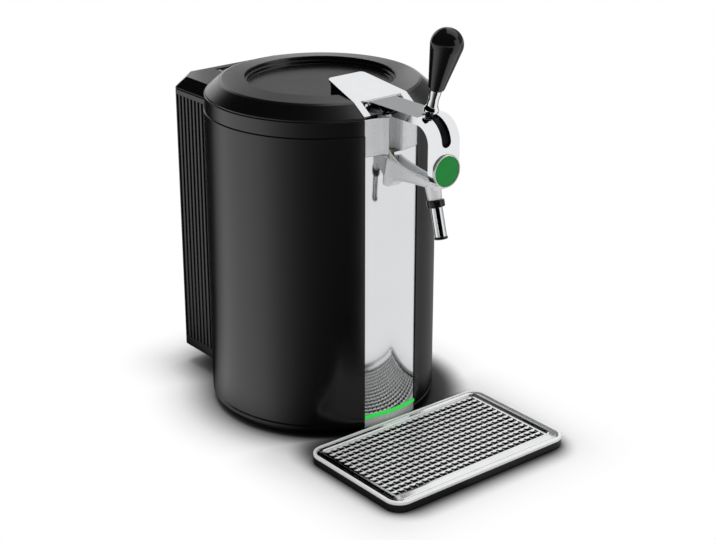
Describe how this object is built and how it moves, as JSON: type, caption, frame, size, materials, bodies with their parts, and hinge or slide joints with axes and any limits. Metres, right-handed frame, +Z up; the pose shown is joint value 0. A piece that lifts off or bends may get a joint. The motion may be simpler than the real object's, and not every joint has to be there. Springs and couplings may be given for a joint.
{
  "type": "mini keg beer dispenser",
  "caption": "Round black cooler for a mini keg, with a hinged lid that carries an arched tap lever, a fixed spout, a rear cooling unit and a pull-out drip tray.",
  "frame": {"origin": "centre of the bounding box in plan, on the surface that the feet and the drip tray stand on", "axes": "+Z up, +X to the right as seen from the front, -Y towards the tap and the drip tray"},
  "size_m": [0.25, 0.439, 0.4578],
  "materials": {
    "black_moulding": "fine satin moulded black",
    "black_gloss": "polished black",
    "grey_moulding": "plain moulded grey",
    "feet_rubber": "soft black rubber",
    "tap_chrome": "bright chrome plating",
    "panel_mirror": "polished steel strip",
    "hinge_steel": "plain zinc-plated steel",
    "grille_steel": "polished steel rim with a punched field",
    "well_aluminium": "plain drawn aluminium",
    "light_green": "lit green light guide",
    "badge_green": "green enamel, plain",
    "pale_trim": "pale polished ring",
    "line_plastic": "milky food-grade tube",
    "foam": "foamed plastic",
    "circuit_board": "solder resist",
    "ceramic": "white ceramic"
  },
  "bodies": {
    "cooler": {"drum_casing": "black_moulding", "base_plate": "black_moulding", "foot_1": "feet_rubber", "foot_2": "feet_rubber", "foot_3": "feet_rubber", "foot_4": "feet_rubber", "control_board": "circuit_board", "top_collar": "black_moulding", "keg_well": "well_aluminium", "insulation": "foam", "front_panel": "panel_mirror", "panel_foot": "panel_mirror", "light_guide": "light_green", "upper_fascia": "tap_chrome", "tap_cradle": "tap_chrome", "nozzle_collar": "black_gloss", "spout_tube": "tap_chrome", "spout_tip": "black_gloss", "beer_line": "line_plastic", "rear_housing": "black_moulding", "rear_top_cover": "black_moulding", "rear_grille": "black_moulding", "hinge_bracket": "hinge_steel", "hinge_pin": "hinge_steel", "cold_block": "well_aluminium", "cooling_module": "ceramic", "heat_sink": "well_aluminium", "fan_frame": "black_moulding", "power_supply": "hinge_steel", "power_inlet": "black_moulding", "switch_frame": "black_moulding"},
    "lid": {"lid_shell": "black_moulding", "lid_liner": "grey_moulding", "lid_gasket": "feet_rubber", "lid_plate": "tap_chrome", "tap_arm": "tap_chrome", "badge_ring": "pale_trim", "badge": "badge_green"},
    "tap_lever": {"lever_carriage": "black_gloss", "lever_shank": "tap_chrome", "lever_grip": "black_gloss"},
    "tray": {"drip_tray": "black_moulding"},
    "grille": {"drip_grille": "grille_steel"},
    "fan": {"fan_rotor": "grey_moulding"},
    "switch": {"power_switch": "grey_moulding"}
  },
  "joints": [
    {"name": "lid_hinge", "type": "hinge", "parent": "cooler", "child": "lid", "pos_m": [0, 0.2005, 0.3446], "axis": [-1, 0, 0], "range_deg": [0, 80]},
    {"name": "tap_lever", "type": "hinge", "parent": "lid", "child": "tap_lever", "pos_m": [0, -0.123, 0.341], "axis": [1, 0, 0], "range_deg": [0, 60]},
    {"name": "tray_slide", "type": "slide", "parent": "cooler", "child": "tray", "axis": [0, -1, 0], "range_m": [0, 0.08]},
    {"name": "grille_lift", "type": "slide", "parent": "tray", "child": "grille", "axis": [0, 0, 1], "range_m": [0, 0.03]},
    {"name": "fan_spin", "type": "hinge", "parent": "cooler", "child": "fan", "pos_m": [0, 0.1953, 0.18], "axis": [0, 1, 0], "continuous": true},
    {"name": "power_switch", "type": "hinge", "parent": "cooler", "child": "switch", "pos_m": [0.055, 0.214, 0.06], "axis": [1, 0, 0], "range_deg": [0, 10]}
  ]
}
